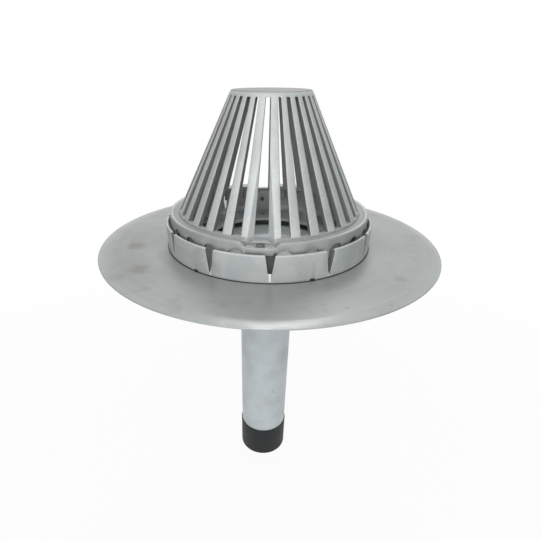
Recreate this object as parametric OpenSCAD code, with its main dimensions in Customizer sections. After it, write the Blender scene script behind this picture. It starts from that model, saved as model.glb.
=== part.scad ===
// Flat roof drain: a spun aluminium flange with a sump and a long outlet stem, a rubber
// pipe seal, a notched cast clamping ring and a slotted cast dome strainer.
// Millimetres, +Z up. Z = 0 is the open end of the outlet and the Z axis is the axis of
// the stem. Bearings are degrees from the front (-Y), turning towards +X.

/* [Flange and sump] */
// Outside diameter of the flange
flange_diameter = 444.5; // [430:0.5:470]
// Height of the flange's top face above the outlet end
flange_height = 402; // [300:1:600]
// Sheet thickness of the flange, sump and neck
sheet = 2.4; // [2:0.1:3]
// Width of the shallow bevel round the flange's top edge
rim_bevel_width = 14; // [6:0.5:20]
// Drop of that bevel at the edge
rim_bevel_drop = 0.9; // [0.4:0.1:1.2]
// Inside radius of the flat seat under the flange, outside the clinch nuts
seat_radius = 116; // [113:0.5:124]
// Rise of the underside inside that seat, where the clinch nuts stand
seat_relief = 0.3; // [0.2:0.1:0.5]
// Clear radius of the sump's mouth
sump_radius = 84; // [83:0.5:86]
// Depth of the sump's floor below the flange's top face
sump_depth = 32; // [26:1:45]
// Radius on the wet side where the flange turns down into the sump
sump_lip_radius = 6; // [4:0.5:8]
// Radius on the wet side where the sump's wall meets its floor
sump_corner_radius = 12; // [8:0.5:16]
// Fall of the sump's floor from its corner to the neck
floor_fall = 3; // [1:0.5:6]
// Radius on the wet side where the floor turns down into the neck
neck_lip_radius = 5; // [4:0.5:8]
// Length of the neck's straight part, which the stem is welded into
neck_length = 12; // [8:1:20]

/* [Outlet stem and seal] */
// Outside radius of the stem
stem_radius = 38.45; // [37:0.05:39]
// Wall thickness of the stem
stem_wall = 3; // [2.6:0.1:3.4]
// Radial play between the stem and the neck round it
weld_gap = 0.05; // [0.03:0.01:0.1]
// Section radius of the weld bead under the neck
weld_radius = 2.6; // [2:0.1:3.2]
// Length of the rubber seal
seal_length = 61; // [40:1:80]
// Outside radius of the seal
seal_radius = 39.8; // [39.5:0.05:41]
// Radius of the reduced spigot that the seal is moulded on
spigot_radius = 37; // [36.6:0.05:37.4]
// Thickness of rubber that wraps under the stem's end
seal_end = 3; // [2:0.5:5]
// Radius on the seal's lower outside edge
seal_edge_radius = 2.4; // [1:0.1:2.6]

/* [Clamping ring] */
// Radial play between the dome's skirt and the ring's wall
skirt_play = 3; // [2:0.1:4]
// Height of the ring's wall
ring_height = 32.3; // [28:0.1:34]
// Thickness of the ring's wall
ring_wall = 3.5; // [3:0.1:4]
// Radius of the hole through the ring's base
ring_bore_radius = 80; // [78:0.5:82]
// Thickness of the ring's base
ring_base = 3.3; // [3:0.1:4]
// Radius of the cove between the ring's base and its wall
ring_cove_radius = 7; // [4:0.5:7]
// Radius on the wall's lower outside edge
ring_foot_radius = 1; // [0.5:0.1:1.5]
// Number of V notches in the wall
notch_count = 12; // [6:1:12]
// Bearing of the first V notch
ring_bearing = 1.4; // [0:0.1:3]
// Width of a V notch near its top
notch_top_width = 10.5; // [8:0.1:12]
// Width of a V notch at its foot
notch_foot_width = 2; // [1.6:0.1:3]
// Height of a V notch's foot above the flange
notch_foot_height = 2.3; // [2:0.1:3]
// Height of the broken corners at the top of a V notch
notch_corner = 1.6; // [1:0.1:2]
// Number of weep openings under the wall, which is also the number of screws
screw_count = 6; // [6:1:6]
// Bearing of the first weep opening after the first V notch
weep_bearing = 20.8; // [18:0.1:24]
// Width of a weep opening
weep_width = 6.5; // [4:0.1:8]
// Height of a weep opening
weep_height = 2.6; // [2:0.1:2.8]

/* [Clamp screws and nuts] */
// Radius of the circle that the screws stand on
screw_circle_radius = 104; // [100:0.5:108]
// Bearing of the first screw after the first V notch
screw_bearing = 3.2; // [0:0.1:6]
// Radius of a screw's shank
screw_radius = 3; // [2.5:0.1:3.2]
// Radius of a screw's countersunk head
screw_head_radius = 6; // [5.5:0.1:6.4]
// Length of a screw from the top of its head
screw_length = 12; // [11:0.5:16]
// Width across the flats of the hexagon socket in a screw's head
socket_width = 4; // [3:0.1:5]
// Depth of the hexagon socket
socket_depth = 2.2; // [1.5:0.1:2.6]
// Radial play of a screw in the ring
screw_hole_play = 0.4; // [0.2:0.1:0.6]
// Radial play between a countersunk head and its seat
head_play = 0.3; // [0.1:0.1:0.4]
// Radial play where a screw runs in its nut, the thread left off
thread_play = 0.05; // [0.02:0.01:0.1]
// Radius of a clinch nut's body under the flange
nut_radius = 6.5; // [6:0.1:8]
// Height of a clinch nut's body
nut_height = 5.6; // [4:0.1:7]
// Radius of the pilot that a clinch nut sets in the flange
pilot_radius = 4.5; // [4.2:0.1:5]
// Radial play of that pilot in the flange
pilot_play = 0.05; // [0.02:0.01:0.1]

/* [Dome strainer] */
// Bearing of the front lock bay
dome_bearing = -3.7; // [-5:0.1:-3]
// Height of the dome's top above the flange's top face
dome_height = 174.6; // [160:0.1:190]
// Width of the shoulder between the foot of the slots and the skirt's outside
shoulder_width = 12.4; // [11.8:0.1:13.4]
// Height of the foot of the slots above the flange
slot_foot_height = 44; // [43:0.1:46]
// Outside radius of the dome at the head of its slots
slot_head_radius = 48.4; // [46:0.1:52]
// Height of the plain band above the slots
dome_band = 4.8; // [4.6:0.1:8]
// Thickness of the dome's closed top
dome_top_thickness = 4.4; // [3:0.1:4.5]
// Size of the broken edge round the dome's top
dome_edge = 1.6; // [1:0.1:2]
// Height of the solid land left under the slots
foot_land = 0.6; // [0.4:0.1:1]
// Depth of a rib, measured level
rib_depth = 6.5; // [5:0.1:7]
// Angle from the front lock bay round to the rear one, towards +X
bay_spread = 188.8; // [186:0.2:191]
// Number of plain slots between the two lock bays on the +X side
right_slots = 15; // [12:1:16]
// Number of plain slots between the two lock bays on the -X side
left_slots = 13; // [10:1:14]
// Angle between the ribs on each side of a lock bay
lock_bay_angle = 14.9; // [13:0.1:16]
// Width of a plain rib at the head of the slots
rib_head_width = 5.6; // [4:0.1:6]
// Width of a plain rib at the foot of the slots
rib_foot_width = 11.2; // [9:0.1:12]
// Extra width of the ribs beside a lock bay, at the head
lock_rib_head_extra = 1.6; // [0.5:0.1:2]
// Extra width of the ribs beside a lock bay, at the foot
lock_rib_foot_extra = 2.8; // [1:0.1:3]
// Height at which the bevel on the ribs beside a lock bay begins
bay_bevel_height = 127; // [90:1:140]
// Width of that bevel at the sill of the lock bay
bay_bevel_width = 8.4; // [4:0.1:9]
// Height of the sill at the foot of a lock bay
bay_sill_height = 40.6; // [40:0.1:41]

/* [Dome foot] */
// Outside radius of the skirt
skirt_radius = 127.2; // [126.8:0.1:127.6]
// Thickness of the skirt
skirt_wall = 3.8; // [3.4:0.1:4]
// Height of the skirt's raised edge above the flange
skirt_top_height = 43.4; // [43:0.1:44]
// Height of the skirt's lowest edge above the flange
skirt_foot_height = 22; // [20:0.1:26]
// Depth of the groove between the ribs' feet and the raised edge
groove_depth = 2; // [1:0.1:2.4]
// Thickness of the web under that groove
web_thickness = 3.2; // [2.8:0.1:3.6]
// Arches in the skirt between the two lock pads, on the +X side
right_arches = 12; // [8:1:12]
// Arches in the skirt between the two lock pads, on the -X side
left_arches = 11; // [8:1:11]
// Angle from a lock bay's middle to the first arch
first_arch_angle = 12; // [11.8:0.1:12.5]
// Angle from one arch to the next
arch_pitch = 14.18; // [14:0.02:14.2]
// Arches between the front lock pad and the first narrow foot
first_foot_arches = 4; // [3:1:5]
// Arches between the two narrow feet of a side
foot_arches = 4; // [3:1:5]
// Radius of an arch
arch_radius = 8.8; // [7:0.1:9]
// Height of an arch's crown above the flange
arch_crown_height = 35.3; // [34:0.1:35.6]
// Height of a lock pad's top above the flange
pad_height = 37.5; // [37:0.1:38]
// Thickness of a lock pad
pad_thickness = 4; // [3.5:0.1:4.5]
// Angle that a lock pad and the lug under it take up
pad_angle = 16.6; // [16:0.1:16.8]
// Height of the skirt's lower edge under a lock pad
pad_skirt_height = 29.7; // [28:0.1:31]
// Extra half width of the gap above a lock pad at the skirt's raised edge
pad_flare = 7; // [4:0.5:8]
// Distance of the lugs and feet inside the skirt's outside
foot_setback = 5.7; // [5.5:0.1:6.2]
// Thickness of the lugs and feet
foot_wall = 4; // [3.5:0.1:4.5]
// Angle that each narrow foot takes up
foot_angle = 5.8; // [4:0.1:6]

/* [Lock clips] */
// Angle that a lock clip takes up
clip_angle = 4.4; // [3.6:0.1:5]
// Thickness of a lock clip
clip_thickness = 1.6; // [1.2:0.1:1.8]
// Length of a lock clip's upper leg on its pad
clip_top_length = 5.9; // [4:0.1:6.4]
// Height of a lock clip's hook above the flange
clip_hook_height = 11; // [10.6:0.1:12]
// Reach of a lock clip's hook past the lug
clip_hook_reach = 7.2; // [6.8:0.1:7.4]
// Gap between a clip's hook and the catch above it
catch_gap = 0.3; // [0.2:0.1:0.5]
// Depth of the catch on the ring's wall
catch_depth = 2.8; // [2.4:0.1:3]
// Angle that a catch takes up
catch_angle = 4.6; // [4.4:0.1:5]
// Height of the rivet through a clip and its lug
rivet_height = 22; // [20:0.1:26]
// Radius of that rivet's shank
rivet_radius = 1.6; // [1.2:0.1:2]
// Radius of that rivet's heads
rivet_head_radius = 3.2; // [2.6:0.1:3.4]
// Thickness of that rivet's heads
rivet_head = 1.2; // [0.8:0.1:1.4]
// Radial play round the rivet's shank
rivet_play = 0.05; // [0.02:0.01:0.1]
// Play behind a clip where it passes through its pad
clip_recess = 0.1; // [0.05:0.05:0.2]
// Angle of play beside a clip in its slot, each side
clip_slot_play = 0.15; // [0.1:0.05:0.3]

/* [Show] */
// Piece to show, or all of them

/* [Hidden] */
$fn = 96;
spun_colour = [0.68, 0.69, 0.69];
cast_colour = [0.76, 0.77, 0.76];
steel_colour = [0.62, 0.63, 0.64];
rubber_colour = [0.07, 0.08, 0.09];
flange_radius = flange_diameter / 2;
relief_height = -sheet + seat_relief;
neck_radius = stem_radius + weld_gap;
floor_height = -sump_depth - floor_fall;
neck_top = floor_height - neck_lip_radius;
neck_foot = neck_top - neck_length;
stem_bore = stem_radius - stem_wall;
stem_top = flange_height + neck_top - 0.5;
wall_inside = skirt_radius + skirt_play;
ring_radius = wall_inside + ring_wall;
slot_foot_radius = skirt_radius - shoulder_width;
foot_radius = skirt_radius - foot_setback;
bay_bearings = [dome_bearing, dome_bearing + bay_spread];
side_slots = [right_slots, left_slots];
side_pitch = [
    (bay_spread - lock_bay_angle) / right_slots,
    (360 - bay_spread - lock_bay_angle) / left_slots
];
slot_head_height = dome_height - dome_band;
cone_slope = (slot_foot_radius - slot_head_radius) / (slot_head_height - slot_foot_height);
first_foot_angle = first_arch_angle + (first_foot_arches - 0.5) * arch_pitch;
foot_step = foot_arches * arch_pitch;
skirt_inside = skirt_radius - skirt_wall;
groove_height = skirt_top_height - groove_depth;
web_under = groove_height - web_thickness;
foot_inside = foot_radius - foot_wall;
clip_outside = foot_radius + clip_thickness;
// A small overrun so that no cut ends on a face
over = 1;

// Turns a child made along +X to a bearing
module at_bearing(bearing) {
    rotate([0, 0, bearing - 90])
        children();
}

// Lifts a child made about the flange's top face to its place
module on_flange() {
    translate([0, 0, flange_height])
        children();
}

// Quarter of a ring section about [x, y], between two radii, in quadrant 1 to 4
module quarter(x, y, inner, outer, quadrant) {
    translate([x, y])
        rotate(90 * (quadrant - 1))
            intersection() {
                difference() {
                    circle(r = outer);
                    circle(r = inner);
                }
                square(outer + over);
            }
}

// Part of a ring with the given section, centred on a bearing
module sector(bearing, angle) {
    rotate([0, 0, bearing - 90 - angle / 2])
        rotate_extrude(angle = angle)
            children();
}

// A box section between two radii and two heights
module band(inside, outside, low, high) {
    translate([inside, low])
        square([outside - inside, high - low]);
}

// A flat outline in the tangent and height plane, carried outwards between two radii
module outwards(inside, outside) {
    translate([inside, 0, 0])
        rotate([90, 0, 90])
            linear_extrude(height = outside - inside)
                children();
}

// Spun sheet: flange, sump and neck in one piece
module flange_pan() {
    corner_x = sump_radius - sump_corner_radius;
    corner_y = -sump_depth + sump_corner_radius;
    neck_x = neck_radius + neck_lip_radius;
    lip_x = sump_radius + sump_lip_radius;
    color(spun_colour)
        on_flange()
            difference() {
                union() {
                    rotate_extrude()
                        polygon([
                            [lip_x, 0],
                            [flange_radius - rim_bevel_width, 0],
                            [flange_radius - 0.3, -rim_bevel_drop],
                            [flange_radius, -rim_bevel_drop - 0.3],
                            [flange_radius, -sheet + 0.3],
                            [flange_radius - 0.3, -sheet],
                            [seat_radius, -sheet],
                            [seat_radius - seat_relief, relief_height],
                            [lip_x + 2 * seat_relief, relief_height],
                            [lip_x + seat_relief, -sheet],
                            [lip_x, -sheet]
                        ]);
                    rotate_extrude() {
                        quarter(lip_x, -sump_lip_radius, sump_lip_radius - sheet,
                            sump_lip_radius, 2);
                        band(sump_radius, sump_radius + sheet, corner_y, -sump_lip_radius);
                        quarter(corner_x, corner_y, sump_corner_radius,
                            sump_corner_radius + sheet, 4);
                        polygon([
                            [corner_x, -sump_depth],
                            [neck_x, floor_height],
                            [neck_x, floor_height - sheet],
                            [corner_x, -sump_depth - sheet]
                        ]);
                        quarter(neck_x, neck_top, neck_lip_radius - sheet,
                            neck_lip_radius, 2);
                        band(neck_radius, neck_radius + sheet, neck_foot, neck_top);
                    }
                }
                for (i = [0 : screw_count - 1])
                    at_bearing(ring_bearing + screw_bearing + i * 360 / screw_count)
                        translate([screw_circle_radius, 0, -sheet - over])
                            cylinder(h = sheet + 2 * over, r = pilot_radius + pilot_play);
            }
}

// Drawn tube with a reduced spigot at its foot and the weld bead under the neck
module outlet_stem() {
    color(spun_colour)
        rotate_extrude() {
            band(stem_bore, stem_radius, seal_length, stem_top);
            band(stem_bore, spigot_radius, seal_end, seal_length);
            intersection() {
                translate([stem_radius + 0.2, flange_height + neck_foot - 0.6])
                    circle(r = weld_radius);
                band(stem_radius - 1, stem_radius + weld_radius + over,
                    flange_height + neck_foot - 2 * weld_radius, flange_height + neck_foot);
            }
        }
}

// Rubber sleeve moulded round the spigot and under the stem's end
module pipe_seal() {
    color(rubber_colour)
        rotate_extrude() {
            band(spigot_radius, seal_radius, seal_edge_radius, seal_length);
            band(stem_bore, spigot_radius, 0, seal_end);
            band(spigot_radius - 0.5, seal_radius - seal_edge_radius, 0, seal_end);
            quarter(seal_radius - seal_edge_radius, seal_edge_radius, 0,
                seal_edge_radius, 4);
        }
}

// One V notch of the ring's wall
module notch() {
    outwards(wall_inside - 3, ring_radius + over)
        polygon([
            [-notch_foot_width / 2, notch_foot_height],
            [notch_foot_width / 2, notch_foot_height],
            [notch_top_width / 2, ring_height - notch_corner],
            [notch_top_width / 2 + notch_corner, ring_height + over],
            [-notch_top_width / 2 - notch_corner, ring_height + over],
            [-notch_top_width / 2, ring_height - notch_corner]
        ]);
}

// Catch on the inside of the ring's wall that a lock clip hooks under
module catch(bearing) {
    low = clip_hook_height + clip_thickness + catch_gap;
    sector(bearing, catch_angle)
        polygon([
            [wall_inside - catch_depth, low],
            [wall_inside + 1, low],
            [wall_inside + 1, low + 6],
            [wall_inside, low + 6],
            [wall_inside - catch_depth, low + 2]
        ]);
}

// Cast ring: base, coved wall with V notches, weep openings and countersunk holes
module clamping_ring() {
    step = 360 / screw_count;
    color(cast_colour)
        on_flange()
            difference() {
                union() {
                    rotate_extrude() {
                        band(ring_bore_radius, ring_radius - ring_foot_radius, 0, ring_base);
                        band(wall_inside, ring_radius, ring_foot_radius,
                            ring_height - ring_wall / 2);
                        quarter(ring_radius - ring_foot_radius, ring_foot_radius, 0,
                            ring_foot_radius, 4);
                        translate([ring_radius - ring_wall / 2, ring_height - ring_wall / 2])
                            circle(r = ring_wall / 2);
                        difference() {
                            band(wall_inside - ring_cove_radius, wall_inside + 1,
                                ring_base - 1, ring_base + ring_cove_radius);
                            translate([wall_inside - ring_cove_radius,
                                ring_base + ring_cove_radius])
                                circle(r = ring_cove_radius);
                        }
                    }
                    for (bearing = bay_bearings)
                        catch(bearing);
                }
                for (i = [0 : notch_count - 1])
                    at_bearing(ring_bearing + i * 360 / notch_count)
                        notch();
                for (i = [0 : screw_count - 1]) {
                    at_bearing(ring_bearing + weep_bearing + i * step)
                        translate([wall_inside - 12, -weep_width / 2, -over])
                            cube([ring_wall + 12 + over, weep_width, weep_height + over]);
                    at_bearing(ring_bearing + screw_bearing + i * step)
                        translate([screw_circle_radius, 0, 0])
                            screw_seat();
                }
            }
}

// Countersunk hole for one screw
module screw_seat() {
    hole = screw_radius + screw_hole_play;
    mouth = screw_head_radius + head_play;
    translate([0, 0, -over])
        cylinder(h = ring_base + 2 * over, r = hole);
    translate([0, 0, ring_base - (mouth - hole)])
        cylinder(h = mouth - hole, r1 = hole, r2 = mouth);
}

// Countersunk screw with a hexagon socket, its head flush with the ring's base
module clamp_screw(index) {
    cone = screw_head_radius - screw_radius;
    color(steel_colour)
        on_flange()
            at_bearing(ring_bearing + screw_bearing + index * 360 / screw_count)
                translate([screw_circle_radius, 0, ring_base])
                    difference() {
                        union() {
                            translate([0, 0, -cone])
                                cylinder(h = cone, r1 = screw_radius, r2 = screw_head_radius);
                            translate([0, 0, -screw_length])
                                cylinder(h = screw_length - cone, r = screw_radius);
                        }
                        translate([0, 0, -socket_depth])
                            cylinder(h = socket_depth + over, r = socket_width / sqrt(3),
                                $fn = 6);
                    }
}

// Clinch nut: a round body under the flange and a pilot set in its sheet
module clinch_nut(index) {
    color(steel_colour)
        on_flange()
            at_bearing(ring_bearing + screw_bearing + index * 360 / screw_count)
                translate([screw_circle_radius, 0, 0])
                    difference() {
                        union() {
                            translate([0, 0, relief_height])
                                cylinder(h = -relief_height, r = pilot_radius);
                            translate([0, 0, relief_height - nut_height])
                                cylinder(h = nut_height, r = nut_radius);
                        }
                        translate([0, 0, relief_height - nut_height - over])
                            cylinder(h = sheet + nut_height + 2 * over,
                                r = screw_radius + thread_play);
                    }
}

// Outline of the slot between two ribs; each side says how much of the extra rib it loses
module slot_outline(half_angle, left, right) {
    head = slot_head_radius * sin(half_angle) - rib_head_width / 2;
    foot = slot_foot_radius * sin(half_angle) - rib_foot_width / 2;
    head_extra = lock_rib_head_extra / 2;
    foot_extra = lock_rib_foot_extra / 2;
    polygon([
        [-foot + left * foot_extra, slot_foot_height],
        [foot - right * foot_extra, slot_foot_height],
        [head - right * head_extra, slot_head_height],
        [-head + left * head_extra, slot_head_height]
    ]);
}

// Corner of a bevel on the +Y rib of a lock bay: how far in, how far along, how high
function bevel_corner(inwards, aside, height) =
    let (head = slot_head_radius * sin(lock_bay_angle / 2)
            - (rib_head_width + lock_rib_head_extra) / 2,
        foot = slot_foot_radius * sin(lock_bay_angle / 2)
            - (rib_foot_width + lock_rib_foot_extra) / 2,
        rise = (height - slot_foot_height) / (slot_head_height - slot_foot_height))
    [slot_head_radius + (slot_head_height - height) * cone_slope - inwards,
        foot + (head - foot) * rise + aside, height];

// Wedge that bevels the ribs on both sides of a lock bay
module bay_bevels() {
    top = bevel_corner(0, 0, bay_bevel_height);
    rear = bevel_corner(rib_depth, 0, bay_sill_height);
    front = bevel_corner(0, bay_bevel_width, bay_sill_height);
    middle = (top + rear + front) / 3;
    spread = 1.1;
    for (side = [0, 1])
        mirror([0, side, 0])
            polyhedron(
                points = [
                    middle + spread * (top - middle),
                    middle + spread * (rear - middle),
                    middle + spread * (front - middle),
                    bevel_corner(-6, -4, bay_sill_height + 8)
                ],
                faces = [[0, 1, 2], [0, 3, 1], [1, 3, 2], [2, 3, 0]]
            );
}

// Section of the dome: closed top, cone, groove, raised edge and skirt
module dome_section() {
    top_radius = slot_head_radius - dome_band * cone_slope;
    top_under = dome_height - dome_top_thickness;
    inner_top = slot_head_radius - (top_under - slot_head_height) * cone_slope - rib_depth;
    polygon([
        [0, dome_height],
        [top_radius - dome_edge / 2, dome_height],
        [top_radius + dome_edge * cone_slope, dome_height - dome_edge],
        [slot_foot_radius + foot_land * cone_slope, slot_foot_height - foot_land],
        [slot_foot_radius + 2, groove_height],
        [skirt_radius - 5.7, groove_height],
        [skirt_radius - 3.2, skirt_top_height],
        [skirt_radius - 1, skirt_top_height],
        [skirt_radius, skirt_top_height - 1],
        [skirt_radius, skirt_foot_height],
        [skirt_inside, skirt_foot_height],
        [skirt_inside, web_under],
        [slot_foot_radius - rib_depth + 2.4, web_under],
        [slot_foot_radius - rib_depth + 0.2, web_under + 1.8],
        [slot_foot_radius - rib_depth + foot_land * cone_slope,
            slot_foot_height - foot_land],
        [inner_top, top_under],
        [0, top_under]
    ]);
}

// Lock bay's pad with the lug under it
module lock_pad(bearing) {
    sector(bearing, pad_angle) {
        band(foot_inside, skirt_radius - 1, pad_height - pad_thickness, pad_height - 0.5);
        band(foot_inside, foot_radius, ring_base, pad_height - 0.5);
    }
}

// What is cut away at a lock bay: the gap above the pad, the clip's slot, the rivet's hole
module lock_pad_cuts(bearing) {
    low_half = skirt_radius * sin(lock_bay_angle / 2) - 0.5;
    foot_half = slot_foot_radius * sin(lock_bay_angle / 2)
        - (rib_foot_width + lock_rib_foot_extra) / 2;
    at_bearing(bearing) {
        bay_bevels();
        outwards(slot_foot_radius - rib_depth - 3, slot_foot_radius + 2.2)
            polygon([
                [-foot_half - 0.2, bay_sill_height],
                [foot_half + 0.2, bay_sill_height],
                [foot_half - 0.1, slot_foot_height + over],
                [-foot_half + 0.1, slot_foot_height + over]
            ]);
        outwards(slot_foot_radius + 1.1, skirt_radius + 3)
            polygon([
                [-low_half, pad_height],
                [low_half, pad_height],
                [low_half + pad_flare, skirt_top_height + over],
                [-low_half - pad_flare, skirt_top_height + over]
            ]);
        translate([foot_inside - over, 0, rivet_height])
            rotate([0, 90, 0])
                cylinder(h = foot_wall + 2 * over, r = rivet_radius + rivet_play);
    }
    sector(bearing, pad_angle)
        band(foot_radius + over, skirt_radius + over, skirt_foot_height - over,
            pad_skirt_height);
    sector(bearing, clip_angle + 2 * clip_slot_play) {
        band(foot_radius - clip_recess, clip_outside + 0.8,
            pad_height - pad_thickness - clip_recess, pad_height + over);
        band(foot_radius + over, clip_outside + 0.8, skirt_foot_height,
            pad_height - pad_thickness);
    }
}

// One arch of the skirt
module arch() {
    outwards(skirt_inside - 1, skirt_radius + over) {
        translate([0, arch_crown_height - arch_radius])
            circle(r = arch_radius);
        translate([-arch_radius, skirt_foot_height - over])
            square([2 * arch_radius, arch_crown_height - arch_radius - skirt_foot_height + over]);
    }
}

// Cast dome: closed top, tapered slots, skirt with arches, lock pads, lugs and feet
module dome_strainer() {
    color(cast_colour)
        on_flange()
            difference() {
                union() {
                    rotate_extrude()
                        dome_section();
                    for (bearing = bay_bearings)
                        lock_pad(bearing);
                    for (turn = [-1, 1])
                        for (i = [0, 1])
                            sector(dome_bearing + turn * (first_foot_angle + i * foot_step),
                                foot_angle)
                                band(foot_inside, foot_radius, ring_base, web_under + 1);
                }
                for (bearing = bay_bearings) {
                    at_bearing(bearing)
                        outwards(15, slot_foot_radius + 1)
                            slot_outline(lock_bay_angle / 2, 1, 1);
                    lock_pad_cuts(bearing);
                }
                for (side = [0, 1])
                    for (i = [0 : side_slots[side] - 1])
                        at_bearing(bay_bearings[side] + lock_bay_angle / 2
                            + (i + 0.5) * side_pitch[side])
                            outwards(15, slot_foot_radius + 1)
                                slot_outline(side_pitch[side] / 2, i == 0 ? 1 : 0,
                                    i == side_slots[side] - 1 ? 1 : 0);
                for (i = [0 : right_arches - 1])
                    at_bearing(dome_bearing + first_arch_angle + i * arch_pitch)
                        arch();
                for (i = [0 : left_arches - 1])
                    at_bearing(dome_bearing - first_arch_angle - i * arch_pitch)
                        arch();
            }
}

// Bent strip: a leg on the pad, a leg down the lug and a hook under the ring's catch
module lock_clip(index) {
    bearing = bay_bearings[index];
    color(steel_colour)
        on_flange()
            difference() {
                sector(bearing, clip_angle) {
                    band(clip_outside - clip_top_length, clip_outside, pad_height,
                        pad_height + clip_thickness);
                    band(foot_radius, clip_outside, clip_hook_height,
                        pad_height + clip_thickness);
                    band(foot_radius, foot_radius + clip_hook_reach, clip_hook_height,
                        clip_hook_height + clip_thickness);
                }
                at_bearing(bearing)
                    translate([foot_radius - over, 0, rivet_height])
                        rotate([0, 90, 0])
                            cylinder(h = clip_thickness + 2 * over,
                                r = rivet_radius + rivet_play);
            }
}

// Rivet through a lock clip and its lug
module clip_rivet(index) {
    color(steel_colour)
        on_flange()
            at_bearing(bay_bearings[index])
                translate([foot_inside - 0.1, 0, rivet_height])
                    rotate([0, 90, 0]) {
                        translate([0, 0, -rivet_head])
                            cylinder(h = rivet_head, r = rivet_head_radius);
                        cylinder(h = clip_outside - foot_inside + 0.1 + rivet_head / 2,
                            r = rivet_radius);
                        translate([0, 0, clip_outside - foot_inside + 0.1])
                            cylinder(h = rivet_head, r = rivet_head_radius);
                    }
}

flange_pan();
outlet_stem();
pipe_seal();
clamping_ring();
dome_strainer();
clamp_screw(0);  // clamp_screw_1
clamp_screw(1);  // clamp_screw_2
clamp_screw(2);  // clamp_screw_3
clamp_screw(3);  // clamp_screw_4
clamp_screw(4);  // clamp_screw_5
clamp_screw(5);  // clamp_screw_6
clinch_nut(0);  // clinch_nut_1
clinch_nut(1);  // clinch_nut_2
clinch_nut(2);  // clinch_nut_3
clinch_nut(3);  // clinch_nut_4
clinch_nut(4);  // clinch_nut_5
clinch_nut(5);  // clinch_nut_6
lock_clip(0);  // lock_clip_1
lock_clip(1);  // lock_clip_2
clip_rivet(0);  // clip_rivet_1
clip_rivet(1);  // clip_rivet_2
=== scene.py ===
import math

import bmesh
import bpy
from mathutils import Matrix, Vector


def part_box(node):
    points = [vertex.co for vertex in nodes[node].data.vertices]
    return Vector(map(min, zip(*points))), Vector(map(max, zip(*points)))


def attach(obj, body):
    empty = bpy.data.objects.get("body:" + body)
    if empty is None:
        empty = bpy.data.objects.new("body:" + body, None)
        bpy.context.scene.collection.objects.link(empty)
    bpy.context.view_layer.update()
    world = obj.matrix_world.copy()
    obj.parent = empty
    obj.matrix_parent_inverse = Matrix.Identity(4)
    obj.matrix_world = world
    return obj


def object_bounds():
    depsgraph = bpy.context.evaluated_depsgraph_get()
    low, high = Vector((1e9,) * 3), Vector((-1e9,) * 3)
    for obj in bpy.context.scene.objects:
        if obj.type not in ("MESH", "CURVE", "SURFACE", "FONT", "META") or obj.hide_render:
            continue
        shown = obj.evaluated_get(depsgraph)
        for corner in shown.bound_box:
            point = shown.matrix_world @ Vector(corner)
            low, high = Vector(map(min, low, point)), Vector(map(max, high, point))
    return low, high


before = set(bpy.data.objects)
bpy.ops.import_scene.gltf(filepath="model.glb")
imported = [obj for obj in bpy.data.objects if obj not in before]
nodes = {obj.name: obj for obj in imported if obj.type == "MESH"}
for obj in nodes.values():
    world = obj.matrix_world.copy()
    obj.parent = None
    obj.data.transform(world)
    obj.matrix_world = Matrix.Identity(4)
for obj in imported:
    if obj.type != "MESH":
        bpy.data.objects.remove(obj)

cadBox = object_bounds()
scene = bpy.context.scene
scene.view_settings.view_transform = "Standard"
print("drain frame loaded:", len(nodes), "cast, spun and pressed pieces")

# The deck line is the flange's top face, and heights on the ring and dome count from it
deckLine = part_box("flange_pan")[1][2]
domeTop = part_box("dome_strainer")[1][2]


def overDeck(low, high):
    return deckLine + low, deckLine + high


class Wire:
    # a shader socket that plain arithmetic can be written with
    def __init__(self, tree, socket):
        self.tree = tree
        self.socket = socket

    def maths(self, operation, *values):
        step = self.tree.nodes.new("ShaderNodeMath")
        step.operation = operation
        for place, value in enumerate(values):
            if isinstance(value, Wire):
                self.tree.links.new(value.socket, step.inputs[place])
            else:
                step.inputs[place].default_value = value
        return Wire(self.tree, step.outputs[0])

    def __add__(self, other):
        return self.maths("ADD", self, other)

    def __radd__(self, other):
        return self.maths("ADD", other, self)

    def __sub__(self, other):
        return self.maths("SUBTRACT", self, other)

    def __rsub__(self, other):
        return self.maths("SUBTRACT", other, self)

    def __mul__(self, other):
        return self.maths("MULTIPLY", self, other)

    def __rmul__(self, other):
        return self.maths("MULTIPLY", other, self)

    def __truediv__(self, other):
        return self.maths("DIVIDE", self, other)

    def __rtruediv__(self, other):
        return self.maths("DIVIDE", other, self)

    def __pow__(self, other):
        return self.maths("POWER", self, other)

    def least(self, other):
        return self.maths("MINIMUM", self, other)

    def most(self, other):
        return self.maths("MAXIMUM", self, other)

    def absolute(self):
        return self.maths("ABSOLUTE", self)

    def step(self, low, high):
        # 0 below low, 1 above high, and a soft rise between them
        span = self.tree.nodes.new("ShaderNodeMapRange")
        span.interpolation_type = "SMOOTHSTEP"
        self.tree.links.new(self.socket, span.inputs[0])
        span.inputs[1].default_value = low
        span.inputs[2].default_value = high
        return Wire(self.tree, span.outputs[0])


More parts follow.
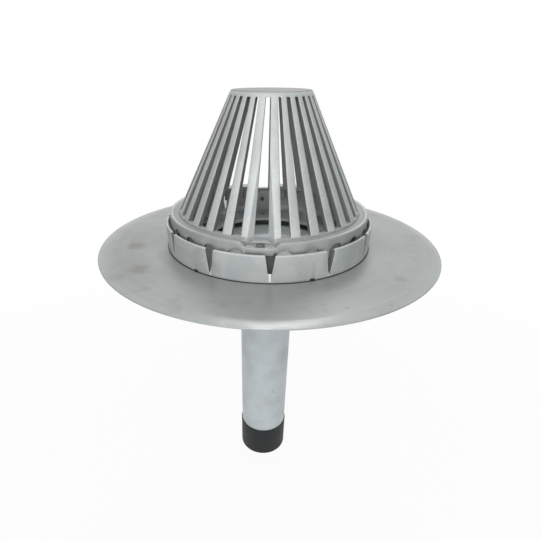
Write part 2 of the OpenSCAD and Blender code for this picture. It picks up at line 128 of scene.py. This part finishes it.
class Finish:
    # one material and the few kinds of step that its look is made from
    def __init__(self, name):
        self.material = bpy.data.materials.new(name)
        self.material.use_nodes = True
        self.tree = self.material.node_tree
        self.tree.nodes.clear()
        self.place = self.node("ShaderNodeTexCoord", output="Object")

    def node(self, kind, settings=None, sockets=None, output=0):
        made = self.tree.nodes.new(kind)
        for name, value in (settings or {}).items():
            setattr(made, name, value)
        for name, value in (sockets or {}).items():
            if isinstance(value, Wire):
                self.tree.links.new(value.socket, made.inputs[name])
            else:
                made.inputs[name].default_value = value
        return Wire(self.tree, made.outputs[output]) if len(made.outputs) else None

    def axes(self, vector=None):
        split = self.tree.nodes.new("ShaderNodeSeparateXYZ")
        self.tree.links.new((vector or self.place).socket, split.inputs[0])
        return [Wire(self.tree, way) for way in split.outputs]

    def vector(self, x, y, z):
        return self.node("ShaderNodeCombineXYZ", sockets={0: x, 1: y, 2: z})

    def turned(self):
        # distance from the drain's axis, and the bearing round it
        x, y, z = self.axes()
        return (x * x + y * y) ** 0.5, x.maths("ARCTAN2", x, y), z

    def noise(self, vector, scale, detail=3.0, roughness=0.55, distortion=0.0):
        return self.node("ShaderNodeTexNoise", None, {"Vector": vector, "Scale": scale,
            "Detail": detail, "Roughness": roughness, "Distortion": distortion})

    def blend(self, amount, first, second):
        return self.node("ShaderNodeMix", {"data_type": "RGBA"},
            {0: amount, 6: first, 7: second}, output=2)

    def bump(self, height, depth, under=None):
        sockets = {"Height": height, "Distance": depth}
        if under:
            sockets["Normal"] = under
        return self.node("ShaderNodeBump", None, sockets)

    def rounded(self, radius):
        return self.node("ShaderNodeBevel", {"samples": 4}, {"Radius": radius})

    def edges(self, radius):
        # near 1 on an outward edge and near 0 on the flat
        flat = self.node("ShaderNodeNewGeometry", output="Normal")
        dot = self.node("ShaderNodeVectorMath", {"operation": "DOT_PRODUCT"},
            {0: self.rounded(radius), 1: flat}, output="Value")
        return (1 - dot).step(0.01, 0.2)

    def surface(self, **sockets):
        names = {"colour": "Base Color", "roughness": "Roughness", "metallic": "Metallic",
            "normal": "Normal", "specular": "Specular IOR Level"}
        shader = self.node("ShaderNodeBsdfPrincipled", None,
            {names[name]: value for name, value in sockets.items()})
        self.node("ShaderNodeOutputMaterial", None, {"Surface": shader})
        return self.material


def shade(level, warm=0.0):
    # a grey given as it looks, from 0 to 1, a little warm or cold
    def linear(value):
        return value / 12.92 if value <= 0.04045 else ((value + 0.055) / 1.055) ** 2.4
    return (linear(level + warm), linear(level + 0.01), linear(level - warm), 1)


# the near-black tone is painted shadow at the ring's foot and on the sump's lip, the brightest
# tone is painted light in the sump, and the rim's tone is partly a painted highlight
spunSheet = {
    "clean": shade(0.69, -0.008), "dull": shade(0.63, -0.003), "stain": shade(0.46, 0.01),
    "mark": shade(0.5, 0.01), "rimPolishAndHighlight": shade(0.87, -0.02), "ringShadow": shade(0.07, 0.0),
    "paintedSumpLight": shade(0.97, -0.012), "roughness": 0.37, "metallic": 0.42, "marks": 0.00003,
    # distances from the axis over which each tone starts or ends
    "rimFrom": 0.2079, "footShadowFrom": (0.1318, 0.1326), "footShadowTo": (0.1345, 0.1354),
    "sumpEdge": (0.083, 0.086), "lipEdge": (0.096, 0.098), "outerEdge": (0.14, 0.18),
    # heights over the deck line
    "sumpFloor": (-0.03, -0.008), "lipFoot": (-0.011, -0.007),
    # each smudge: x, y, radius and how dark
    "smudges": ((-0.173, -0.032, 0.017, 0.9), (-0.15, -0.103, 0.02, 0.8),
        (-0.169, -0.127, 0.014, 0.6), (0.0802, -0.1818, 0.003, 0.8),
        (0.1251, -0.175, 0.003, 0.9), (0.149, -0.115, 0.01, 0.5)),
}


def spunFinish():
    # concentric marks of the spinning roller, with dull patches, a streaked rim that is partly
    # a painted highlight, painted shadow at the ring's foot and on the sump's lip, and painted
    # light in the sump
    facts = spunSheet
    paint = Finish("spun_aluminium_sheet")
    x, y, z = paint.axes()
    radius, bearing, height = paint.turned()
    rings = paint.noise(paint.vector(radius * 900, bearing * 0.8, height * 900), 1.0, 4)
    broad = paint.noise(paint.vector(radius * 90, bearing * 1.6, height * 30), 1.0, 3)
    patches = paint.noise(paint.place, 9.0, 4, 0.6)
    grain = paint.noise(paint.place, 700.0, 2, 0.7)
    dull = (patches * 0.75 + broad * 0.25).step(0.38, 0.72)
    colour = paint.blend(dull, facts["clean"], facts["dull"])
    across, along, up = paint.axes(paint.node("ShaderNodeNewGeometry", output="Normal"))
    # 1 on the side that water runs over, 0 on the underside
    wetted = (0 - (across * x + along * y) / radius).most(up).step(0.1, 0.4)
    outer = radius.step(*facts["outerEdge"])
    stains = paint.noise(paint.place, 30.0, 4, 0.6).step(0.52, 0.7) * (0.1 + 0.25 * outer)
    colour = paint.blend(stains, colour, facts["mark"])
    ragged = paint.noise(paint.place, 110.0, 3, 0.6) - 0.5
    for left, back, size, depth in facts["smudges"]:
        away = ((x - left) * (x - left) + (y - back) * (y - back)) ** 0.5 + ragged * size
        smudge = (1 - away.step(size * 0.15, size)) * depth * wetted
        colour = paint.blend(smudge, colour, facts["mark"])
    colour = paint.blend(0.25 * (0.6 + 0.7 * patches), colour, facts["stain"])
    turning = paint.noise(paint.vector(radius * 420, bearing * 0.35, 0.0), 1.0, 2, 0.4)
    grooves = (rings * 0.5 + turning * 0.5 - 0.5) * 0.7 + 0.2
    colour = paint.blend(grooves, colour, facts["dull"])
    rimFrom = facts["rimFrom"]
    # painted shade: the whole rolled rim is made a little darker
    colour = paint.blend(radius.step(rimFrom, rimFrom + 0.0008) * 0.12, colour, facts["mark"])
    # the rim's streaked bright band is polished metal and partly a painted highlight
    rimPolishAndHighlight = radius.step(rimFrom - 0.008, rimFrom + 0.014)
    streaks = paint.noise(paint.vector(radius * 1300, bearing * 0.9, 0.0), 1.0, 3, 0.6)
    colour = paint.blend(rimPolishAndHighlight * (1.9 * streaks - 0.4) * 0.35, colour, facts["rimPolishAndHighlight"])
    # painted shadow: a near-black band on the sheet along the ring's foot, where the ring's
    # contact shadow falls
    ringShadow = radius.step(*facts["footShadowFrom"]) * (1 - radius.step(*facts["footShadowTo"]))
    colour = paint.blend(ringShadow * wetted * 0.9, colour, facts["ringShadow"])
    # painted light: the sump below its lip is made bright, brighter towards its floor
    sumpLightMask = (1 - radius.step(*facts["sumpEdge"])) * (
        1 - height.step(*overDeck(*facts["sumpFloor"])) * 0.5)
    colour = paint.blend(sumpLightMask * wetted, colour, facts["paintedSumpLight"])
    # painted shadow: a near-black band on the sump's lip under the ring
    lipShadow = height.step(*overDeck(*facts["lipFoot"])) * (1 - radius.step(*facts["lipEdge"]))
    colour = paint.blend(lipShadow * wetted * 0.95, colour, facts["ringShadow"])
    rough = facts["roughness"] + dull * 0.1 + (rings - 0.5) * 0.12 - rimPolishAndHighlight * 0.1
    normal = paint.bump(rings * 0.7 + grain * 0.3, facts["marks"])
    return paint.surface(colour=colour, roughness=rough, metallic=facts["metallic"],
        normal=normal)


drawnTube = {
    "clean": shade(0.78, -0.022), "dull": shade(0.745, -0.016), "stain": shade(0.56, -0.004),
    "roughness": 0.45, "metallic": 0.45, "marks": 0.00003,
}


def tubeFinish():
    # long draw lines down the tube and a few faint handling marks
    paint = Finish("drawn_aluminium_tube")
    radius, bearing, height = paint.turned()
    lines = paint.noise(paint.vector(bearing * 60, height * 6, 0.0), 1.0, 4)
    patches = paint.noise(paint.place, 26.0, 4, 0.6)
    grain = paint.noise(paint.place, 900.0, 2, 0.7)
    dull = patches.step(0.42, 0.68)
    colour = paint.blend(dull, drawnTube["clean"], drawnTube["dull"])
    marks = paint.noise(paint.place, 75.0, 2, 0.5).step(0.7, 0.78) * 0.5
    colour = paint.blend(marks, colour, drawnTube["stain"])
    rough = drawnTube["roughness"] + dull * 0.08 + (lines - 0.5) * 0.12
    normal = paint.bump(lines * 0.7 + grain * 0.3, drawnTube["marks"])
    return paint.surface(colour=colour, roughness=rough, metallic=drawnTube["metallic"],
        normal=normal)


# the 0.3 grey is grime and painted shade in hollows, the 0.5 grey serves dark scuffs and
# painted shade, the 0.88 grey is painted light on faces towards the axis, and the 0.36 grey is
# painted shadow
castMetal = {
    "clean": shade(0.77, -0.012), "dull": shade(0.715, 0.0), "warm": shade(0.73, 0.004),
    "cold": shade(0.76, -0.014), "brown": shade(0.55, 0.012), "shadow": shade(0.36, 0.004),
    "hollowGrimeAndShade": shade(0.3, 0.01), "bright": shade(0.95, -0.004), "polished": shade(0.84, -0.004),
    "inside": shade(0.88, 0.0), "sides": shade(0.5, 0.0), "roughness": 0.55, "metallic": 0.4,
    "grain": 0.00016,
    # distances from the axis over which each tone starts or ends
    "sawnFrom": (0.119, 0.12), "troughTo": (0.122, 0.1226), "grooveFrom": (0.1144, 0.1149),
    "grooveTo": (0.1222, 0.1236), "crestFrom": (0.1234, 0.1238), "edgeHighlightFrom": (0.1236, 0.124),
    "edgeHighlightTo": (0.1245, 0.125),
    # heights over the deck line
    "sawnTop": (0.0028, 0.0031), "troughTop": (0.036, 0.0366), "shoulder": (0.0372, 0.0382),
    "skirtTop": (0.0434, 0.0444),
    # sine of the front locking bay's bearing, and how far from it the groove's painted shade
    # starts
    "bay": -0.0645, "bayHalf": (0.13, 0.155),
}
# per piece: how strongly edges are brightened (rubbed wear, partly a painted highlight), how
# strongly the dome's painted shade and highlight marks show, and how strongly the ring's trough
# takes painted shadow
castPieces = {
    "clamping_ring": {"finish": "cast_ring", "edgeWearAndHighlight": 0.95, "polish": 0.6, "softness": 0.0007,
        "paintedShading": 0.0, "troughShade": 0.8},
    "dome_strainer": {"finish": "cast_dome", "edgeWearAndHighlight": 0.6, "polish": 0.25, "softness": 0.0012,
        "paintedShading": 0.8, "troughShade": 0.0},
}


def castFinish(piece):
    # tumbled casting: fine pitted skin, rubbed bright edges that are partly painted highlights,
    # grime and painted shade in the hollows, and painted shade and light laid by the faces'
    # direction and place
    facts = castMetal
    paintedShading = piece["paintedShading"]
    paint = Finish(piece["finish"])
    coarse = paint.noise(paint.place, 160.0, 4, 0.65)
    fine = paint.noise(paint.place, 900.0, 3, 0.7)
    patches = paint.noise(paint.place, 14.0, 4, 0.6)
    dull = patches.step(0.4, 0.68)
    colour = paint.blend(dull, facts["clean"], facts["dull"])
    colour = paint.blend(piece["polish"], colour, facts["polished"])
    tint = paint.noise(paint.place, 17.0, 3, 0.5, 0.6)
    colour = paint.blend(tint.step(0.5, 0.66) * 0.8, colour, facts["warm"])
    colour = paint.blend((1 - tint).step(0.52, 0.66) * 0.8, colour, facts["cold"])
    speckle = (coarse * 0.5 + fine * 0.5).step(0.53, 0.72) * 0.6
    colour = paint.blend(speckle, colour, facts["dull"])
    radius, bearing, height = paint.turned()
    scuffs = paint.noise(paint.vector(bearing * 26, height * 420, 0.0), 1.0, 4, 0.65)
    colour = paint.blend(scuffs.step(0.56, 0.74) * 0.4, colour, facts["bright"])
    colour = paint.blend((1 - scuffs).step(0.58, 0.74) * 0.3, colour, facts["sides"])
    x, y, z = paint.axes()
    across, along, up = paint.axes(paint.node("ShaderNodeNewGeometry", output="Normal"))
    facing = (across * x + along * y) / radius
    # painted shade on faces in the slots and on the dome's flat top, painted light on faces
    # towards the axis
    inside = 1 - facing.most(up).step(0.12, 0.42)
    inner = inside * (1 - facing.step(-0.7, -0.3))
    top = height.step(domeTop - 0.0012, domeTop - 0.0004)
    colour = paint.blend(inside.most(top) * 0.85, colour, facts["sides"])
    colour = paint.blend(inner * 0.6, colour, facts["inside"])
    # painted shadow on low faces inside the ring's wall
    troughShade = ((1 - radius.step(*facts["troughTo"]))
        * (1 - height.step(*overDeck(*facts["troughTop"]))) * facing.most(up).step(0.2, 0.5))
    colour = paint.blend(troughShade * paintedShading, colour, facts["sides"])
    # painted shade in the groove at the ribs' feet, darker upward faces outside it, and a
    # painted highlight on the raised edge
    raised = height.step(*overDeck(*facts["shoulder"]))
    fromBay = (x / radius - facts["bay"]).absolute()
    groove = (radius.step(*facts["grooveFrom"]) * (1 - radius.step(*facts["grooveTo"])) * raised
        * fromBay.step(*facts["bayHalf"]))
    colour = paint.blend(groove * paintedShading * 0.7, colour, facts["sides"])
    crest = radius.step(*facts["crestFrom"]) * up.step(0.3, 0.8)
    colour = paint.blend(crest * raised * paintedShading * 0.35, colour, facts["sides"])
    # painted highlight: a bright band along the raised edge
    rubbed = (radius.step(*facts["edgeHighlightFrom"]) * (1 - radius.step(*facts["edgeHighlightTo"]))
        * up.step(0.5, 0.8))
    colour = paint.blend(rubbed * raised * paintedShading * 0.5, colour, facts["bright"])
    # painted shadow in the ring's trough
    colour = paint.blend(troughShade * piece["troughShade"] * 0.5, colour, facts["shadow"])
    # painted shade on the outside of the skirt below the ring's wall
    skirtShade = (1 - height.step(*overDeck(*facts["skirtTop"]))) * facing.step(0.3, 0.9)
    colour = paint.blend(skirtShade * paintedShading * 0.4, colour, facts["sides"])
    # some of the skin weathered a little browner
    browned = paint.noise(paint.place, 9.0, 3, 0.5).step(0.5, 0.7)
    colour = paint.blend(browned * 0.2, colour, facts["brown"])
    hollow = paint.node("ShaderNodeAmbientOcclusion", {"samples": 4}, {"Distance": 0.006},
        output="AO")
    # the feet of the saw cuts through the ring's wall are bare metal
    sawn = (radius.step(*facts["sawnFrom"]) * (1 - height.step(*overDeck(*facts["sawnTop"])))
        * up.step(0.6, 0.9))
    # grime and painted shade: darker where the surface is hollow, less so on faces towards the
    # axis and not on the saw cuts
    hollowGrimeAndShade = (1 - hollow).step(0.2, 0.8) * 0.55 * (1 - sawn) * (1 - inner * 0.7)
    colour = paint.blend(hollowGrimeAndShade, colour, facts["hollowGrimeAndShade"])
    colour = paint.blend(sawn, colour, facts["bright"])
    # rubbed bright edges, partly a painted highlight
    wearAndHighlight = paint.edges(0.0014) * (0.6 + 0.5 * patches)
    colour = paint.blend(wearAndHighlight * piece["edgeWearAndHighlight"], colour, facts["bright"])
    rough = facts["roughness"] + dull * 0.08 - wearAndHighlight * 0.25
    normal = paint.bump(coarse * 0.45 + fine * 0.55, facts["grain"],
        under=paint.rounded(piece["softness"]))
    return paint.surface(colour=colour, roughness=rough, metallic=facts["metallic"],
        normal=normal)


platedSteel = {
    "clean": shade(0.72, 0.0), "dull": shade(0.55, 0.01), "clipSlotShade": shade(0.22, 0.0),
    "rubbed": shade(0.85, -0.01), "roughness": 0.35, "metallic": 0.95, "clipSlotShadeAmount": 0.6,
}


def platedFinish(name, slotShade):
    paint = Finish(name)
    patches = paint.noise(paint.place, 120.0, 4, 0.6)
    dull = patches.step(0.4, 0.7)
    colour = paint.blend(dull, platedSteel["clean"], platedSteel["dull"])
    # painted shade: a dark tone laid over the steel, standing for the shade of the slot behind
    # the clip
    colour = paint.blend(slotShade * (0.75 + 0.4 * patches), colour, platedSteel["clipSlotShade"])
    colour = paint.blend(paint.edges(0.0004), colour, platedSteel["rubbed"])
    rough = platedSteel["roughness"] + dull * 0.2
    grain = paint.noise(paint.place, 1500.0, 2, 0.6)
    return paint.surface(colour=colour, roughness=rough, metallic=platedSteel["metallic"],
        normal=paint.bump(grain, 0.00003))


sealRubber = {
    "dark": shade(0.055, -0.015), "bloom": shade(0.105, -0.02), "roughness": 0.55,
}


def rubberFinish():
    # moulded rubber with a grey bloom and a fine mould texture
    paint = Finish("moulded_seal_rubber")
    radius, bearing, height = paint.turned()
    bloom = paint.noise(paint.vector(bearing * 3, height * 60, 0.0), 1.0, 4).step(0.35, 0.8)
    specks = paint.noise(paint.place, 1100.0, 2, 0.7)
    colour = paint.blend(bloom, sealRubber["dark"], sealRubber["bloom"])
    rough = sealRubber["roughness"] + bloom * 0.12
    return paint.surface(colour=colour, roughness=rough, metallic=0.0, specular=0.4,
        normal=paint.bump(specks, 0.00004))


def dress(finish, *names):
    for name in names:
        slots = nodes[name].data.materials
        for place in range(len(slots)):
            slots[place] = finish
        if not len(slots):
            slots.append(finish)


def softenEdges(name, width):
    # the edges of the real piece are broken, never knife sharp
    weld = nodes[name].modifiers.new("closeSeams", "WELD")
    weld.merge_threshold = 0.000002
    bevel = nodes[name].modifiers.new("brokenEdges", "BEVEL")
    bevel.limit_method = "ANGLE"
    bevel.angle_limit = math.radians(30)
    bevel.width = width
    bevel.segments = 2
    bevel.use_clamp_overlap = True
    bevel.harden_normals = True


dress(spunFinish(), "flange_pan")
dress(tubeFinish(), "outlet_stem")
for name, piece in castPieces.items():
    dress(castFinish(piece), name)
steel = platedFinish("plated_steel", 0.0)
# the clips take the dark tone as painted shade of the slot behind them
shadedClipSteel = platedFinish("clip_steel_painted_shade", platedSteel["clipSlotShadeAmount"])
for name in nodes:
    if name.startswith(("clamp_screw", "clinch_nut")):
        dress(steel, name)
    if name.startswith(("lock_clip", "clip_rivet")):
        dress(shadedClipSteel, name)
dress(rubberFinish(), "pipe_seal")
print("finishes laid on the drain")

brokenEdges = {"dome_strainer": 0.0007, "clamping_ring": 0.0006, "flange_pan": 0.0003}
for name, width in brokenEdges.items():
    softenEdges(name, width)
print("edges of the castings and the sheet broken")

notchCuts = {
    "count": 12, "firstBearing": 1.4, "floor": 0.0023, "footWidth": 0.002, "topWidth": 0.0105,
    "top": 0.0307, "mouth": 0.1334, "inner": 0.1276, "rise": 0.0066, "steps": 6,
}


sawnMetal = {
    "bright": shade(0.97, -0.004), "scratch": shade(0.9, -0.004), "roughness": 0.35,
    "metallic": 0.2, "marks": 0.00004,
}


def sawnFinish():
    paint = Finish("sawn_aluminium")
    marks = paint.noise(paint.place, 900.0, 3, 0.6)
    colour = paint.blend(marks, sawnMetal["bright"], sawnMetal["scratch"])
    return paint.surface(colour=colour, roughness=sawnMetal["roughness"] + marks * 0.1,
        metallic=sawnMetal["metallic"], normal=paint.bump(marks, sawnMetal["marks"]))


def cutRunOuts():
    # the saw leaves a bright curved ramp at the inner end of each notch
    facts = notchCuts
    form = bmesh.new()
    spread = (facts["topWidth"] - facts["footWidth"]) / (facts["top"] - facts["floor"])
    for turn in range(facts["count"]):
        bearing = math.radians(facts["firstBearing"] + turn * 360 / facts["count"])
        out = Vector((math.sin(bearing), -math.cos(bearing), 0))
        side = Vector((math.cos(bearing), math.sin(bearing), 0))
        rows = []
        for place in range(facts["steps"] + 1):
            along = place / facts["steps"]
            radius = facts["mouth"] + (facts["inner"] - facts["mouth"]) * along
            height = facts["floor"] + 0.00005 + facts["rise"] * along ** 1.15
            half = facts["footWidth"] / 2 + spread * (height - facts["floor"]) / 2 - 0.00003
            rows.append([form.verts.new(out * radius + side * half * way
                + Vector((0, 0, deckLine + level)))
                for way, level in ((-1, facts["floor"]), (-1, height), (1, height),
                    (1, facts["floor"]))])
        for first, second in zip(rows, rows[1:]):
            for corner in range(4):
                after = (corner + 1) % 4
                form.faces.new((first[corner], first[after], second[after], second[corner]))
        form.faces.new(rows[0])
        form.faces.new(reversed(rows[-1]))
    bmesh.ops.recalc_face_normals(form, faces=form.faces)
    mesh = bpy.data.meshes.new("sawn_run_outs")
    form.to_mesh(mesh)
    form.free()
    mesh.materials.append(sawnFinish())
    ramps = bpy.data.objects.new("sawn_run_outs", mesh)
    scene.collection.objects.link(ramps)
    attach(ramps, "root")


cutRunOuts()
print("sawn run-outs laid in the ring's notches")

studio = {
    "floor": 0.86, "floorGlow": 0.93, "roomLight": 0.75, "backdrop": 1.0,
    "lamps": {
        "key": {"place": (-0.3, -1.8, 1.7), "aim": (0, 0, 0.45), "size": 1.6, "power": 17.0},
        "rear": {"place": (0.1, 1.3, 1.9), "aim": (0, -0.05, 0.4), "size": 0.6, "power": 6.0},
    },
    "card": {"apart": 1.1, "height": 1.2, "width": 1.6, "shade": 0.1},
}


def seenDirectly(paint):
    # 1 where the eye, a reflection or glass looks straight at the backdrop
    ways = [paint.node("ShaderNodeLightPath", output=name)
        for name in ("Is Camera Ray", "Is Glossy Ray", "Is Transmission Ray")]
    return (ways[0] + ways[1] + ways[2]).least(1.0)


def layFloor():
    paint = Finish("pale_floor")
    mottle = paint.noise(paint.place, 6.0, 2, 0.5)
    colour = paint.blend(mottle, (studio["floor"],) * 3 + (1,),
        (studio["floor"] * 0.985,) * 3 + (1,))
    plain = paint.node("ShaderNodeBsdfDiffuse", None, {"Color": colour})
    glow = paint.node("ShaderNodeEmission", None, {"Color": (1, 1, 1, 1), "Strength": 1.0})
    radius, bearing, height = paint.turned()
    far = radius.step(0.25, 1.3)
    strength = studio["floorGlow"] + far * (1 - studio["floorGlow"])
    mixed = paint.node("ShaderNodeMixShader", None,
        {0: seenDirectly(paint) * strength, 1: plain, 2: glow})
    paint.node("ShaderNodeOutputMaterial", None, {"Surface": mixed})
    mesh = bpy.data.meshes.new("floor")
    form = bmesh.new()
    bmesh.ops.create_circle(form, cap_ends=True, segments=96, radius=9.0)
    form.to_mesh(mesh)
    form.free()
    floor = bpy.data.objects.new("floor", mesh)
    floor.location.z = cadBox[0][2] - 0.0002
    mesh.materials.append(paint.material)
    scene.collection.objects.link(floor)


def lightRoom():
    room = bpy.data.worlds.new("studio")
    scene.world = room
    room.use_nodes = True
    tree = room.node_tree
    tree.nodes.clear()
    paint = Finish.__new__(Finish)
    paint.tree = tree
    seen = seenDirectly(paint)
    soft = paint.node("ShaderNodeBackground", None,
        {"Color": (1, 1, 1, 1), "Strength": studio["roomLight"]})
    bright = paint.node("ShaderNodeBackground", None,
        {"Color": (1, 1, 1, 1), "Strength": studio["backdrop"]})
    both = paint.node("ShaderNodeMixShader", None, {0: seen, 1: soft, 2: bright})
    paint.node("ShaderNodeOutputWorld", None, {"Surface": both})
    for name, facts in studio["lamps"].items():
        lamp = bpy.data.lights.new(name + "Light", "AREA")
        lamp.shape = "DISK"
        lamp.size = facts["size"]
        lamp.energy = facts["power"]
        holder = bpy.data.objects.new(name + "Light", lamp)
        holder.location = facts["place"]
        way = Vector(facts["aim"]) - Vector(facts["place"])
        holder.rotation_euler = way.to_track_quat("-Z", "Y").to_euler()
        scene.collection.objects.link(holder)


def standCards():
    # dark cards out of sight on both sides, so that the metal's flanks have something to show
    facts = studio["card"]
    paint = Finish("card")
    mottle = paint.noise(paint.place, 4.0, 2, 0.5)
    colour = paint.blend(mottle, (facts["shade"],) * 3 + (1,),
        (facts["shade"] * 1.1,) * 3 + (1,))
    paint.node("ShaderNodeOutputMaterial", None,
        {"Surface": paint.node("ShaderNodeBsdfDiffuse", None, {"Color": colour})})
    for side in (-1, 1):
        mesh = bpy.data.meshes.new("card")
        half, high, x = facts["width"] / 2, facts["height"], side * facts["apart"]
        mesh.from_pydata([(x, -half, 0.0), (x, half, 0.0), (x, half, high), (x, -half, high)],
            [], [(0, 1, 2, 3)])
        mesh.materials.append(paint.material)
        card = bpy.data.objects.new("card", mesh)
        card.visible_camera = False
        card.visible_shadow = False
        scene.collection.objects.link(card)


view = {
    "distance": 0.51779, "height": 0.19666, "pitch": 0.60187, "yaw": -0.0402, "roll": 0.00282,
    "lens": 26.099, "shift": (0.03273, 0.11909),
}


def placeCamera():
    yaw, pitch, roll = view["yaw"], view["pitch"], view["roll"]
    ahead = Vector((math.sin(yaw) * math.cos(pitch), math.cos(yaw) * math.cos(pitch),
        -math.sin(pitch)))
    across = ahead.cross(Vector((0, 0, 1))).normalized()
    over = across.cross(ahead)
    side = across * math.cos(roll) + over * math.sin(roll)
    top = over * math.cos(roll) - across * math.sin(roll)
    lens = bpy.data.cameras.new("camera")
    lens.lens = view["lens"]
    lens.sensor_width = 36
    lens.shift_x, lens.shift_y = view["shift"]
    lens.clip_start = 0.01
    lens.clip_end = 50
    camera = bpy.data.objects.new("camera", lens)
    turn = Matrix((side, top, -ahead)).transposed().to_4x4()
    turn.translation = (0, -view["distance"], deckLine + view["height"])
    camera.matrix_world = turn
    scene.collection.objects.link(camera)
    scene.camera = camera


layFloor()
lightRoom()
standCards()
placeCamera()
print("floor, lights and camera set")

bpy.context.view_layer.update()
